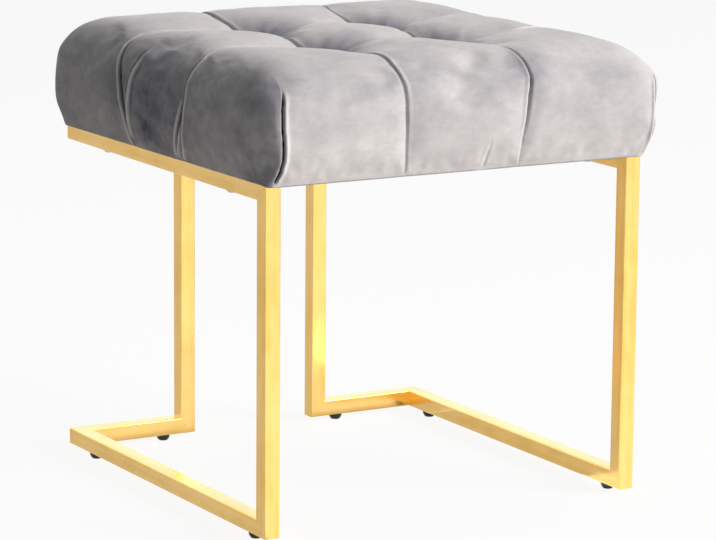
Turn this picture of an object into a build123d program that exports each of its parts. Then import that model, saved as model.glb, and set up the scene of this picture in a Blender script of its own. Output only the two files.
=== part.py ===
"""Square upholstered stool: two folded loops of gold square tube carry a deep tufted velvet seat.

Millimetres. The origin is on the floor under the middle of the stool. +X is the sitter's right,
-Y is the front and +Z is up.
"""
from build123d import *
import math
import os

# Side frames of square tube
FRAME_W = 468.0         # left outer face to right outer face
FRAME_D = 482.0         # front face to back face
FRAME_H = 380.0         # underside of the bottom rail to the top of the top rail
TUBE = 19.0             # outside width of the square tube
TUBE_WALL = 1.2
TUBE_CORNER = 1.5       # outside corner radius of the tube
TUBE_INNER_CORNER = 0.5
RETURN_LEN = 155.0      # side's outer face to the inner face of the back leg

# Screw-in feet
FOOT_H = 7.0            # floor to the underside of the bottom rail
FOOT_TOP_D = 16.0
FOOT_FLAT_D = 10.0      # flat that rests on the floor
FOOT_SEAT_GAP = 0.2     # pad to rail when the foot is screwed home
FOOT_TRAVEL = 8.0       # how far a foot screws out
FOOT_FRONT_INSET = 36.0     # front face to the front foot
FOOT_BACK_INSET = 53.0      # back face to the back foot
FOOT_RETURN_INSET = 38.0    # inner face of the back leg to the foot under the return
STEM_D = 6.0
STEM_HEAD_D = 10.0      # head that is moulded into the pad
STEM_HEAD_H = 1.6
STEM_SOLE = 2.0         # plastic under the stem's head
STEM_SPARE = 0.5        # stem above the nut when the foot is fully out
NUT_FLATS = 10.0
NUT_H = 5.0
THREAD_CLEARANCE = 0.05     # radial, between a screw and its nut
HOLE_CLEARANCE = 0.3        # radial, between a screw and a drilled hole

# Seat fixing bolts
BOLT_D = 6.0
BOLT_HEAD_D = 10.5
BOLT_HEAD_H = 2.2       # low button head
BOLT_SOCKET_FLATS = 4.0
BOLT_SOCKET_DEPTH = 1.4
BOLT_TIP_GAP = 1.4      # bolt tip below the top of the board
BOLT_SPACING = 300.0    # front to back, on each side rail
WASHER_D = 14.0
WASHER_T = 1.0
T_NUT_FLANGE_D = 17.0
T_NUT_FLANGE_T = 1.5
T_NUT_BARREL_D = 8.0
T_NUT_FLOOR = 2.5       # wood under the barrel

# Seat board and layers
BOARD_T = 15.0
BOARD_GAP = 0.3         # board edge to the inside of the cover
COVER_T = 1.2           # velvet with its backing
WADDING_T = 6.0
LAYER_GAP = 0.3         # between two soft layers
HEM_BEYOND = 18.0       # cover turned in under the board, past the rail's inner face

# Outside form of the cushion, heights above the rails
BASE_OVERHANG = 3.0     # cushion beyond the rails at its foot
BASE_CORNER = 18.0
BASE_PLEAT_DRAW = 0.6   # the pleats run out flat at the foot
SIDE_OVERHANG = 16.0    # cushion beyond the side rails at its widest
END_OVERHANG = 21.0     # cushion beyond the frame's front and back at its widest
BULGE_CORNER = 30.0
BULGE_H = 66.0
FLANK_SHARE = 0.75      # share of the bulge that is reached half-way up to it
SHOULDER_DRAW = 2.0     # how far the shoulder stands inside the bulge
SHOULDER_CORNER = 40.0
TOP_INSET = 16.0        # the corners' slope at the height of the crest, inside the rails
TOP_CORNER = 64.0
CREST_H = 127.0
CROSS_RISE = 1.5        # front-to-back crown above the side-to-side one
ROLL_INSET = 54.0       # rail's outer face to where the top starts to roll over
ROLL_BEYOND = 1.5       # the roll runs out past the bulge
ROLL_SHARE = 0.64       # middle of the roll, as a share of its width, and its depth below the crest
ROLL_MIDDLE_DROP = 13.5
EDGE_DROP = 51.0        # crest down to where the roll meets the bulge
MIDDLE_DROP = 0.5       # crest down to the middle pillow
CREASE_DROP = 7.0       # crest down to the creased pleats through the tufts
SADDLE_DROP = 6.0       # crest down to the soft dip between two tufts
PLEAT_DRAW = 2.5        # how far a side pleat is drawn in
TUFT_PITCH_X = 150.0
TUFT_PITCH_Y = 150.0
TUFT_DEPTH = 39.0       # crest down to the bottom of a tuft
TUFT_BOTTOM_D = 9.0
TUFT_MOUTH_D = 128.0    # width of the funnel at the height of the crest
TUFT_WAIST_D = 50.0     # width half-way down the funnel, and how deep that is
TUFT_WAIST_DROP = 19.5
VALLEY_START = 5.0      # sharp valley that a tuft draws into each of its pleats: from its middle
VALLEY_END = 150.0
VALLEY_DROP = 36.0      # depth and half width below the crest where it starts
VALLEY_HALF_W = 36.0
VALLEY_RISE = 8.0       # the cut stands above the crest, and its far end comes up to there

# Tuft ties, staples and dust cover
TIE_D = 2.4
TIE_CLEARANCE = 0.4     # radial, tie in the foam
TIE_HOLE_D = 5.0        # hole in the board
TIE_KNOT_D = 6.0
TIE_KNOT_H = 0.6
TIE_WASHER_D = 16.0
TIE_WASHER_T = 1.0
STAPLE_CROWN = 10.0
STAPLE_LEG = 8.0        # length in the wood
STAPLE_WIRE_W = 1.2
STAPLE_WIRE_T = 0.7
STAPLE_PITCH = 62.0
HEM_STAPLE_EDGE = 6.0       # inner edge of the hem to its staples
DUST_STAPLE_EDGE = 4.5      # edge of the dust cover to its staples
DUST_T = 0.3
DUST_INSET = 1.5        # inner face of the rail to the edge of the dust cover

# Heights of the layers
RAIL_TOP = FOOT_H + FRAME_H
BOARD_Z = RAIL_TOP + COVER_T
BOARD_TOP = BOARD_Z + BOARD_T
TUFT_Z = RAIL_TOP + CREST_H - TUFT_DEPTH
DUST_TOP = RAIL_TOP - max(STAPLE_WIRE_T, TIE_WASHER_T + TIE_KNOT_H - COVER_T)

# Half sizes and centre lines
HALF_W = FRAME_W / 2
HALF_D = FRAME_D / 2
SIDE_X = HALF_W - TUBE / 2
END_Y = HALF_D - TUBE / 2
RETURN_X = HALF_W - RETURN_LEN + TUBE / 2
TUFT_X = TUFT_PITCH_X / 2
TUFT_Y = TUFT_PITCH_Y / 2
REACH = FRAME_W + FRAME_D       # longer than any cut has to be


def unit(start, end):
    """Direction from one corner of the loop to another."""
    return (Vector(*end) - Vector(*start)).normalized()


def cylinder_at(x, y, low, high, diameter):
    """Upright cylinder between two heights."""
    return Pos(x, y, (low + high) / 2) * Cylinder(diameter / 2, high - low)


def slab(low, high):
    """All space between two heights."""
    return Pos(0, 0, (low + high) / 2) * Box(REACH, REACH, high - low)


# Side frames

def mitred_tube(before, start, end, after):
    """Hollow square tube from start to end, mitred to the tubes before and after it."""
    along = unit(start, end)
    across = Vector(1, 0, 0) if abs(along.X) < 0.5 else Vector(0, 1, 0)
    begin = Vector(*start) - along * TUBE
    length = (Vector(*end) - Vector(*start)).length + 2 * TUBE
    inside = TUBE - 2 * TUBE_WALL
    section = RectangleRounded(TUBE, TUBE, TUBE_CORNER)
    section -= RectangleRounded(inside, inside, TUBE_INNER_CORNER)
    tube = extrude(Plane(origin=begin, x_dir=across, z_dir=along) * section, length)
    for corner, inward, neighbour in ((start, along, before), (end, along * -1, after)):
        normal = inward - unit(corner, neighbour)
        tube = split(tube, bisect_by=Plane(origin=Vector(*corner), z_dir=normal), keep=Keep.TOP)
    return tube


def foot_places():
    """Centres of the three feet of the left side frame."""
    return {
        "front": (-SIDE_X, -HALF_D + FOOT_FRONT_INSET),
        "back": (-SIDE_X, HALF_D - FOOT_BACK_INSET),
        "return": (-HALF_W + RETURN_LEN - FOOT_RETURN_INSET, END_Y),
    }


def bolt_places():
    """Centres of the three seat bolts of the left side frame."""
    return [
        (-SIDE_X, -BOLT_SPACING / 2),
        (-SIDE_X, BOLT_SPACING / 2),
        (-HALF_W + RETURN_LEN / 2, END_Y),
    ]


def both_sides(places):
    """The left places and their mirror images."""
    return [(side * x, y) for side in (1, -1) for x, y in places]


def left_frame():
    """The six tubes of the left loop, with the holes for its feet and seat bolts."""
    low = FOOT_H + TUBE / 2
    high = RAIL_TOP - TUBE / 2
    corners = [
        (-SIDE_X, -END_Y, low),
        (-SIDE_X, -END_Y, high),
        (-SIDE_X, END_Y, high),
        (-RETURN_X, END_Y, high),
        (-RETURN_X, END_Y, low),
        (-SIDE_X, END_Y, low),
    ]
    names = ["front_leg", "top_rail", "top_return", "back_leg", "bottom_return", "bottom_rail"]
    count = len(corners)
    tubes = {}
    for index, name in enumerate(names):
        around = [corners[(index + step) % count] for step in (-1, 0, 1, 2)]
        tubes[name] = mitred_tube(*around)
    for place, (x, y) in foot_places().items():
        rail = "bottom_return" if place == "return" else "bottom_rail"
        tubes[rail] -= cylinder_at(x, y, 0, FOOT_H + TUBE / 2, STEM_D + 2 * HOLE_CLEARANCE)
    for index, (x, y) in enumerate(bolt_places()):
        rail = "top_return" if index == 2 else "top_rail"
        tubes[rail] -= cylinder_at(x, y, RAIL_TOP - 2 * TUBE, RAIL_TOP + TUBE, BOLT_D + 2 * HOLE_CLEARANCE)
    return tubes


# Feet

def foot_stem(x, y):
    """Threaded stem, drawn plain, with the head that the pad is moulded round."""
    top = FOOT_H + TUBE_WALL + NUT_H + FOOT_TRAVEL + STEM_SPARE
    shank = cylinder_at(x, y, STEM_SOLE, top, STEM_D)
    return shank + cylinder_at(x, y, STEM_SOLE, STEM_SOLE + STEM_HEAD_H, STEM_HEAD_D)


def foot_pad(x, y):
    """Domed pad: flat on the floor, rounded up to its full width at the rail."""
    top = FOOT_H - FOOT_SEAT_GAP
    rim = FOOT_TOP_D / 2
    flat = FOOT_FLAT_D / 2
    radius = ((rim - flat) ** 2 + top ** 2) / (2 * (rim - flat))
    half_turn = math.asin(top / radius) / 2
    waist = (rim - radius + radius * math.cos(half_turn), top - radius * math.sin(half_turn))
    outline = [
        Line((0, 0), (flat, 0)),
        ThreePointArc((flat, 0), waist, (rim, top)),
        Line((rim, top), (0, top)),
        Line((0, top), (0, 0)),
    ]
    dome = revolve(Plane.XZ * make_face(outline), axis=Axis.Z)
    return Pos(x, y, 0) * dome - foot_stem(x, y)


def foot_nut(x, y):
    """Hexagon weld nut on the inside of the rail's bottom wall."""
    low = FOOT_H + TUBE_WALL
    prism = Pos(x, y, low) * extrude(RegularPolygon(NUT_FLATS / 2, 6, major_radius=False), NUT_H)
    return prism - cylinder_at(x, y, low - NUT_H, low + 2 * NUT_H, STEM_D + 2 * THREAD_CLEARANCE)


# Seat fixing

def washer(x, y):
    """Plain washer under a top rail."""
    under = RAIL_TOP - TUBE
    ring = cylinder_at(x, y, under - WASHER_T, under, WASHER_D)
    return ring - cylinder_at(x, y, under - 2 * WASHER_T, under + WASHER_T, BOLT_D + 2 * HOLE_CLEARANCE)


def seat_bolt(x, y):
    """Button-head bolt up through the rail into the T-nut."""
    seat = RAIL_TOP - TUBE - WASHER_T
    head = cylinder_at(x, y, seat - BOLT_HEAD_H, seat, BOLT_HEAD_D)
    head = fillet(head.edges().group_by(Axis.Z)[0], BOLT_HEAD_H / 2)
    socket = extrude(RegularPolygon(BOLT_SOCKET_FLATS / 2, 6, major_radius=False), BOLT_SOCKET_DEPTH)
    head -= Pos(x, y, seat - BOLT_HEAD_H) * socket
    return head + cylinder_at(x, y, seat, BOARD_TOP - BOLT_TIP_GAP, BOLT_D)


def t_nut_body(x, y):
    """Outside of a T-nut: flange flush with the board's top and a barrel below it."""
    flange_low = BOARD_TOP - T_NUT_FLANGE_T
    flange = cylinder_at(x, y, flange_low, BOARD_TOP, T_NUT_FLANGE_D)
    return flange + cylinder_at(x, y, BOARD_Z + T_NUT_FLOOR, flange_low, T_NUT_BARREL_D)


def t_nut(x, y):
    """T-nut with its bore."""
    return t_nut_body(x, y) - cylinder_at(x, y, BOARD_Z, BOARD_TOP + T_NUT_FLANGE_T,
                                          BOLT_D + 2 * THREAD_CLEARANCE)


# Cushion form

def section(half_x, half_y, corner, draw, height):
    """Rounded outline at one height, drawn in at the side pleats and swelling between them."""
    run_x = half_x - corner
    run_y = half_y - corner
    round_off = corner * (1 - math.sin(math.radians(45)))
    edges = []
    for turn in range(4):
        out, run, tuft = (half_y, run_x, TUFT_X) if turn % 2 == 0 else (half_x, run_y, TUFT_Y)
        side = out - round_off
        next_side = (half_x if turn % 2 == 0 else half_y) - round_off
        far = half_x if turn % 2 == 0 else half_y
        drawn = out - draw
        swell = out - draw / 4
        middle = (run + tuft) / 2
        panels = [
            ThreePointArc((-run, -out), (-middle, -swell), (-tuft, -drawn)),
            ThreePointArc((-tuft, -drawn), (0, -out), (tuft, -drawn)),
            ThreePointArc((tuft, -drawn), (middle, -swell), (run, -out)),
            ThreePointArc((run, -out), (next_side, -side), (far, -out + corner)),
        ]
        edges += [Rot(0, 0, 90 * turn) * panel for panel in panels]
    return Pos(0, 0, height) * make_face(edges)


def lobes(half, overhang, tuft, rise, dip, inset):
    """Top profile of three pillows across the seat, as a face in the XZ plane."""
    lean = inset * math.sin(math.radians(45))
    edge = half + overhang + TUBE
    floor = RAIL_TOP - TUBE
    crest = RAIL_TOP + CREST_H + rise
    crest_z = crest - inset
    edge_z = crest_z - EDGE_DROP
    dip_z = crest_z - dip
    rim = half + overhang + ROLL_BEYOND
    roll = half - ROLL_INSET
    roll_middle = (roll + ROLL_SHARE * (rim - roll) - lean, crest - ROLL_MIDDLE_DROP - lean)
    slope = ((roll + tuft) / 2, crest_z - dip / 4)
    rim -= inset
    below = [(-rim, edge_z), (-edge, edge_z), (-edge, floor), (edge, floor), (edge, edge_z), (rim, edge_z)]
    outline = [
        Polyline(*below),
        ThreePointArc((rim, edge_z), roll_middle, (roll, crest_z)),
        ThreePointArc((roll, crest_z), slope, (tuft, dip_z)),
        ThreePointArc((tuft, dip_z), (0, crest_z - MIDDLE_DROP), (-tuft, dip_z)),
        ThreePointArc((-tuft, dip_z), mirrored(slope), (-roll, crest_z)),
        ThreePointArc((-roll, crest_z), mirrored(roll_middle), (-rim, edge_z)),
    ]
    return Plane.XZ * make_face(outline)


def mirrored(point):
    """The same point of a profile on its other side."""
    return -point[0], point[1]


def tuft_pit(inset):
    """Funnel that a tie draws into the seat."""
    lean = inset * math.sin(math.radians(45))
    low = TUFT_Z - inset
    high = RAIL_TOP + CREST_H
    bottom = TUFT_BOTTOM_D / 2 + inset
    mouth = TUFT_MOUTH_D / 2 + inset
    waist = (TUFT_WAIST_D / 2 + lean, high - TUFT_WAIST_DROP - lean)
    outline = [
        Line((0, low), (bottom, low)),
        ThreePointArc((bottom, low), waist, (mouth, high)),
        Line((mouth, high), (0, high)),
        Line((0, high), (0, low)),
    ]
    return revolve(Plane.XZ * make_face(outline), axis=Axis.Z)


def pleat_valley(inset):
    """Wedge along +X that a tuft draws into one of its pleats, from the height of the crest."""
    sink = inset * math.hypot(VALLEY_DROP, VALLEY_HALF_W) / VALLEY_HALF_W
    brim = VALLEY_HALF_W * (1 + VALLEY_RISE / VALLEY_DROP)
    left = Vector(VALLEY_START, brim, VALLEY_RISE)
    right = Vector(VALLEY_START, -brim, VALLEY_RISE)
    bottom = Vector(VALLEY_START, 0, -VALLEY_DROP)
    tip = Vector(VALLEY_END, 0, VALLEY_RISE)
    sides = [(left, bottom, right), (left, tip, bottom), (right, bottom, tip), (left, right, tip)]
    wedge = Solid(Shell([Face(Wire.make_polygon(side)) for side in sides]))
    return Pos(0, 0, -sink) * wedge


def cushion_form(inset):
    """Solid form of the cushion, a layer of the given depth inside its outer face."""
    half_bulge = (BASE_CORNER + BULGE_CORNER) / 2
    base = (BASE_OVERHANG, BASE_OVERHANG)
    bulge = (SIDE_OVERHANG, END_OVERHANG)
    flank = tuple(BASE_OVERHANG + FLANK_SHARE * (out - BASE_OVERHANG) for out in bulge)
    shoulder = tuple(out - SHOULDER_DRAW for out in bulge)
    levels = [
        (0.0, base, BASE_CORNER, BASE_PLEAT_DRAW),
        (BULGE_H / 2, flank, half_bulge, PLEAT_DRAW),
        (BULGE_H, bulge, BULGE_CORNER, PLEAT_DRAW),
        ((BULGE_H + CREST_H) / 2, shoulder, SHOULDER_CORNER, PLEAT_DRAW),
        (CREST_H, (-TOP_INSET, -TOP_INSET), TOP_CORNER, PLEAT_DRAW),
    ]
    outlines = []
    for height, (side, end), corner, draw in levels:
        half_x = HALF_W + side - inset
        half_y = HALF_D + end - inset
        outlines.append(section(half_x, half_y, corner - inset, draw, RAIL_TOP + height))
    body = loft(outlines)
    body &= extrude(lobes(HALF_W, SIDE_OVERHANG, TUFT_X, 0, CREASE_DROP, inset), REACH / 2, both=True)
    crown = None
    for middle, width, dip in (
        (-REACH / 4 - TUFT_X / 2, REACH / 2 - TUFT_X, CREASE_DROP),
        (0, TUFT_PITCH_X, SADDLE_DROP),
        (REACH / 4 + TUFT_X / 2, REACH / 2 - TUFT_X, CREASE_DROP),
    ):
        band = extrude(lobes(HALF_D, END_OVERHANG, TUFT_Y, CROSS_RISE, dip, inset), width / 2, both=True)
        band = Pos(middle, 0, 0) * Rot(0, 0, 90) * band
        crown = band if crown is None else crown + band
    body &= crown
    for x, y in tuft_places():
        body -= Pos(x, y, 0) * tuft_pit(inset)
        for turn in (0 if x > 0 else 180, 90, -90):
            body -= Pos(x, y, RAIL_TOP + CREST_H) * Rot(0, 0, turn) * pleat_valley(inset)
    return body


def tuft_places():
    """Centres of the four tufts."""
    return [(x, y) for x in (-TUFT_X, TUFT_X) for y in (-TUFT_Y, TUFT_Y)]


def tie_holes(low, diameter):
    """The four tie holes of a layer, from a height upwards."""
    return [cylinder_at(x, y, low, TUFT_Z, diameter) for x, y in tuft_places()]


# Seat

def seat_board():
    """Plywood board with its tie holes, T-nut seats and bolt holes."""
    grow = BASE_OVERHANG - BASE_PLEAT_DRAW - COVER_T - BOARD_GAP
    outline = RectangleRounded(FRAME_W + 2 * grow, FRAME_D + 2 * grow, BASE_CORNER - COVER_T)
    board = Pos(0, 0, BOARD_Z) * extrude(outline, BOARD_T)
    for x, y in tuft_places():
        board -= cylinder_at(x, y, BOARD_Z - BOARD_T, BOARD_TOP + BOARD_T, TIE_HOLE_D)
    for x, y in both_sides(bolt_places()):
        board -= t_nut_body(x, y)
        board -= cylinder_at(x, y, BOARD_Z - BOARD_T, BOARD_TOP, BOLT_D + 2 * HOLE_CLEARANCE)
    return board


def seat_cover(outer, cavity):
    """Velvet cover: skin over the cushion and a hem turned in under the board."""
    cover = outer - (cavity & slab(BOARD_Z, RAIL_TOP + 2 * CREST_H))
    hem = 2 * (TUBE + HEM_BEYOND)
    cover -= Pos(0, 0, RAIL_TOP) * Box(FRAME_W - hem, FRAME_D - hem, 2 * COVER_T)
    for x, y in both_sides(bolt_places()):
        cover -= cylinder_at(x, y, RAIL_TOP - COVER_T, BOARD_Z, BOLT_D + 2 * HOLE_CLEARANCE)
    return cover


def tuft_tie(x, y):
    """Twine from the bottom of a tuft to its knot under the board."""
    knot_top = BOARD_Z - TIE_WASHER_T
    cord = cylinder_at(x, y, knot_top, TUFT_Z - COVER_T, TIE_D)
    return cord + cylinder_at(x, y, knot_top - TIE_KNOT_H, knot_top, TIE_KNOT_D)


def tie_washer(x, y):
    """Washer that spreads the pull of a tie under the board."""
    ring = cylinder_at(x, y, BOARD_Z - TIE_WASHER_T, BOARD_Z, TIE_WASHER_D)
    return ring - cylinder_at(x, y, BOARD_Z - 2 * TIE_WASHER_T, BOARD_TOP, TIE_D)


def staple(x, y, turn, crown_top):
    """Wire staple driven up into the board, its crown flat under the cloth."""
    crown = Pos(0, 0, crown_top - STAPLE_WIRE_T / 2) * Box(STAPLE_CROWN, STAPLE_WIRE_W, STAPLE_WIRE_T)
    tip = BOARD_Z + STAPLE_LEG
    leg_x = (STAPLE_CROWN - STAPLE_WIRE_T) / 2
    leg = Box(STAPLE_WIRE_T, STAPLE_WIRE_W, tip - crown_top)
    body = crown
    for side in (-leg_x, leg_x):
        body += Pos(side, 0, (crown_top + tip) / 2) * leg
    return Pos(x, y, 0) * Rot(0, 0, turn) * body


def staple_ring(inset, crown_top, shift):
    """Staples evenly spaced along the four sides, a distance inside the rails' inner faces."""
    half_x = HALF_W - TUBE - inset
    half_y = HALF_D - TUBE - inset
    staples = []
    for turn, out, run in ((0, half_y, half_x), (90, half_x, half_y)):
        count = int(2 * (run - STAPLE_PITCH / 2) // STAPLE_PITCH)
        start = -STAPLE_PITCH * (count - 1) / 2 + shift
        for index in range(count):
            along = start + STAPLE_PITCH * index
            for side in (-out, out):
                x, y = (along, side) if turn == 0 else (side, along)
                staples.append(staple(x, y, turn, crown_top))
    return staples


def dust_cover():
    """Thin black cloth under the seat, between the rails."""
    edge = 2 * (TUBE + DUST_INSET)
    return Pos(0, 0, DUST_TOP - DUST_T) * extrude(Rectangle(FRAME_W - edge, FRAME_D - edge), DUST_T)


def seat_parts():
    """Every piece of the seat by name."""
    hem_staples = staple_ring(HEM_BEYOND - HEM_STAPLE_EDGE, RAIL_TOP, 0)
    dust_staples = staple_ring(DUST_INSET + DUST_STAPLE_EDGE, DUST_TOP - DUST_T, STAPLE_PITCH / 4)
    staples = hem_staples + dust_staples
    wadding_inset = COVER_T + LAYER_GAP
    foam_inset = wadding_inset + WADDING_T + LAYER_GAP
    above_board = slab(BOARD_TOP, RAIL_TOP + 2 * CREST_H)
    cover = seat_cover(cushion_form(0), cushion_form(COVER_T))
    wadding = (cushion_form(wadding_inset) - cushion_form(wadding_inset + WADDING_T)) & above_board
    foam = cushion_form(foam_inset) & above_board
    bores = tie_holes(BOARD_TOP, TIE_D + 2 * TIE_CLEARANCE)
    return {
        "seat_cover": [cover - staples],
        "seat_wadding": [wadding - bores],
        "seat_foam": [foam - bores],
        "seat_board": [seat_board() - staples],
        "dust_cover": [dust_cover() - dust_staples],
        "hem_staples": hem_staples,
        "dust_cover_staples": dust_staples,
        "tuft_ties": [tuft_tie(x, y) for x, y in tuft_places()],
        "tuft_tie_washers": [tie_washer(x, y) for x, y in tuft_places()],
        "seat_t_nuts": [t_nut(x, y) for x, y in both_sides(bolt_places())],
        "seat_bolts": [seat_bolt(x, y) for x, y in both_sides(bolt_places())],
        "seat_bolt_washers": [washer(x, y) for x, y in both_sides(bolt_places())],
    }


def frame_parts():
    """Tubes, feet and nuts by name."""
    parts = {}
    for name, tube in left_frame().items():
        parts["left_" + name] = [tube]
        parts["right_" + name] = [mirror(tube, about=Plane.YZ)]
    for side, sign in (("left", 1), ("right", -1)):
        for place, (x, y) in foot_places().items():
            parts["foot_pad_" + side + "_" + place] = [foot_pad(sign * x, y)]
            parts["foot_stem_" + side + "_" + place] = [foot_stem(sign * x, y)]
    parts["foot_nuts"] = [foot_nut(x, y) for x, y in both_sides(foot_places().values())]
    return parts


def main():
    """Write one file for each named piece or group of like pieces."""
    os.makedirs("parts", exist_ok=True)
    pieces = {**frame_parts(), **seat_parts()}
    for name, solids in pieces.items():
        shape = solids[0] if len(solids) == 1 else Compound(children=solids)
        export_step(shape, "parts/" + name + ".step")


if __name__ == "__main__":
    main()
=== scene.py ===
"""Upholstered stool, dressed: polished gold tube, nap-marked grey velvet with painted shade and
highlights, black feet and a pale studio.
"""
import math

import bmesh
import bpy
import numpy as np
from bpy.props import FloatProperty, FloatVectorProperty, PointerProperty
from mathutils import Matrix, Vector, noise


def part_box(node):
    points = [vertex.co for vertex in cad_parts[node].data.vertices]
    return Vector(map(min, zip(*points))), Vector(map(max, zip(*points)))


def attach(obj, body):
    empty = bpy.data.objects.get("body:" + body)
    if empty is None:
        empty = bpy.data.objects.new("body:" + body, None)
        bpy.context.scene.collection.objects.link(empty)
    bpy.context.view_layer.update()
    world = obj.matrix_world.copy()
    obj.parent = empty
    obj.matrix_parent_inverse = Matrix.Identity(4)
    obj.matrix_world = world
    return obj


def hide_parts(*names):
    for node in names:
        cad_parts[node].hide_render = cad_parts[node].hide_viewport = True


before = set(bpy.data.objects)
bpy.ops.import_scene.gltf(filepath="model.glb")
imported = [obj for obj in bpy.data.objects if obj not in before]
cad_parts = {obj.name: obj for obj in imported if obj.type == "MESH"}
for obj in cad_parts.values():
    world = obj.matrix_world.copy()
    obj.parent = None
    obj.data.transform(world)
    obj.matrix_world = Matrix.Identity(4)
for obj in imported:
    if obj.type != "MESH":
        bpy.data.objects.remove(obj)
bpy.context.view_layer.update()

bl_info = {
    "name": "Upholstered stool",
    "version": (1, 0, 0),
    "blender": (4, 5, 0),
    "location": "View3D > Sidebar > Stool",
    "description": "Dresses the packed stool with velvet, gold and a pale studio",
    "category": "Object",
}

MM = 0.001
BODY = "stool"
# Name of the mesh attribute with the velvet's nap tone together with its painted shade and painted
# highlights
NAP_AND_SHADE_ATTRIBUTE = "nap"
SIDES = ("left", "right")
# Each tube and the axis that it runs along
TUBES = {
    "front_leg": 2, "back_leg": 2, "top_rail": 1, "bottom_rail": 1, "top_return": 0, "bottom_return": 0,
}
FEET = ("front", "back", "return")
STEEL_NODES = (
    "foot_nuts", "seat_bolts", "seat_bolt_washers", "seat_t_nuts", "tuft_tie_washers",
    "hem_staples", "dust_cover_staples",
)

# The frame's own places, in millimetres
COVER_LOW, COVER_HIGH = (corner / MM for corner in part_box("seat_cover"))
RAIL_LOW, RAIL_HIGH = (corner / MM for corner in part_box("left_top_rail"))
DUST_LOW, DUST_HIGH = (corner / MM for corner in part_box("dust_cover"))
_, TIE_HIGH = (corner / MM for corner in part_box("tuft_tie_washers"))
RAIL_TOP = COVER_LOW.z
HALF_W = -RAIL_LOW.x
HALF_D = RAIL_HIGH.y
CREST = COVER_HIGH.z - RAIL_TOP
TIE_WASHER_R = 8.0
TUFT_X = TIE_HIGH.x - TIE_WASHER_R
TUFT_Y = TIE_HIGH.y - TIE_WASHER_R


class StoolSeat(bpy.types.PropertyGroup):
    """Shape of the velvet cushion."""
    base_overhang: FloatProperty(
        name="Base overhang", description="Cushion beyond the rails at its foot, in mm",
        default=4.5, min=0.0, max=10.0)
    side_overhang: FloatProperty(
        name="Side overhang", description="Cushion beyond the rails at its widest, in mm",
        default=16.0, min=5.0, max=30.0)
    end_overhang: FloatProperty(
        name="End overhang", description="Front and back beyond the rails, in mm",
        default=21.0, min=5.0, max=30.0)
    bulge_height: FloatProperty(
        name="Bulge height", description="Widest level above the rails, in mm",
        default=64.5, min=20.0, max=100.0)
    roll_width: FloatProperty(
        name="Roll width", description="How far in the rounding of the top edge starts, in mm",
        default=58.5, min=20.0, max=90.0)
    roll_height: FloatProperty(
        name="Roll height", description="How far down the rounding of the top edge ends, in mm",
        default=46.0, min=10.0, max=70.0)
    tuft_depth: FloatProperty(
        name="Tuft depth", description="Crest down to the bottom of a tuft, in mm",
        default=39.0, min=10.0, max=60.0)
    pleat_reach: FloatProperty(
        name="Pleat reach", description="How far along a pleat its tuft pulls it down, in mm",
        default=66.0, min=20.0, max=120.0)
    pleat_spread: FloatProperty(
        name="Pleat spread", description="How far across a pleat its sides fall, in mm",
        default=27.0, min=5.0, max=60.0)
    side_crease: FloatProperty(
        name="Side crease", description="Depth of a pleat on the upright faces, in mm",
        default=3.0, min=0.0, max=12.0)
    saddle_depth: FloatProperty(
        name="Saddle depth", description="Soft dip between two tufts, in mm",
        default=4.0, min=0.0, max=15.0)
    swell_room: FloatProperty(
        name="Swell room", description="How much smaller the cloth starts than it ends, in mm",
        default=2.4, min=0.0, max=10.0)
    pressure: FloatProperty(
        name="Pressure", description="Swelling of the cloth over the padding",
        default=4.0, min=0.0, max=10.0)
    swell_limit: FloatProperty(
        name="Swell limit", description="Furthest that the cloth may swell, in mm",
        default=12.0, min=0.0, max=30.0)


COLOUR = {"subtype": "COLOR", "size": 4, "min": 0.0, "max": 1.0}


class StoolFinish(bpy.types.PropertyGroup):
    """Colours of the finishes."""
    gold: FloatVectorProperty(
        name="Gold", description="Plated tube", default=(0.93, 0.602, 0.183, 1.0), **COLOUR)
    # The velvet's pale and dark ends; the nap attribute also uses them for painted highlights on lips and
    # painted shade in folds and on faces turned from the key light
    velvet_light: FloatVectorProperty(
        name="Velvet, brushed up", description="Nap lying towards the light",
        default=(0.67, 0.645, 0.64, 1.0), **COLOUR)
    velvet_dark: FloatVectorProperty(
        name="Velvet, brushed down", description="Nap lying away from the light",
        default=(0.25, 0.252, 0.29, 1.0), **COLOUR)
    plastic: FloatVectorProperty(
        name="Foot plastic", description="Moulded feet", default=(0.012, 0.012, 0.013, 1.0), **COLOUR)
    steel: FloatVectorProperty(
        name="Zinc steel", description="Bolts, nuts and staples", default=(0.58, 0.59, 0.6, 1.0), **COLOUR)


class StoolStage(bpy.types.PropertyGroup):
    """Camera, lights and floor."""
    azimuth: FloatProperty(
        name="Azimuth", description="Camera's bearing round the stool",
        subtype="ANGLE", default=math.radians(-29.74))
    elevation: FloatProperty(
        name="Elevation", description="Camera above the horizon",
        subtype="ANGLE", default=math.radians(11.05))
    roll: FloatProperty(
        name="Roll", description="Tilt of the picture", subtype="ANGLE", default=math.radians(0.48))
    distance: FloatProperty(
        name="Distance", description="Camera to the aim point", subtype="DISTANCE", default=3.98)
    aim: FloatVectorProperty(
        name="Aim", description="Point in the middle of the picture",
        subtype="TRANSLATION", size=3, default=(0.0119, -0.0056, 0.2345))
    lens: FloatProperty(
        name="Lens", description="Focal length in mm on a 36 mm sensor", default=176.5)
    key_power: FloatProperty(
        name="Key light", description="Large soft light at the front right",
        subtype="POWER", default=850.0)
    top_power: FloatProperty(
        name="Top light", description="Large soft light overhead", subtype="POWER", default=16.0)
    card_power: FloatProperty(
        name="Cards", description="Power of a square metre of the cards that metal reflects",
        subtype="POWER", default=2.0)
    ambient: FloatProperty(
        name="Ambient", description="Light from all round", default=0.065)
    backdrop: FloatProperty(
        name="Backdrop", description="Brightness of the backdrop in the metal", default=1.4)
    floor_shine: FloatProperty(
        name="Floor in the metal", description="Brightness of the floor in the metal", default=0.72)


def node_object(name):
    """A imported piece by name."""
    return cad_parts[name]


def dress(obj, material):
    """Gives a piece one material all over."""
    obj.data.materials.clear()
    obj.data.materials.append(material)


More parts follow.
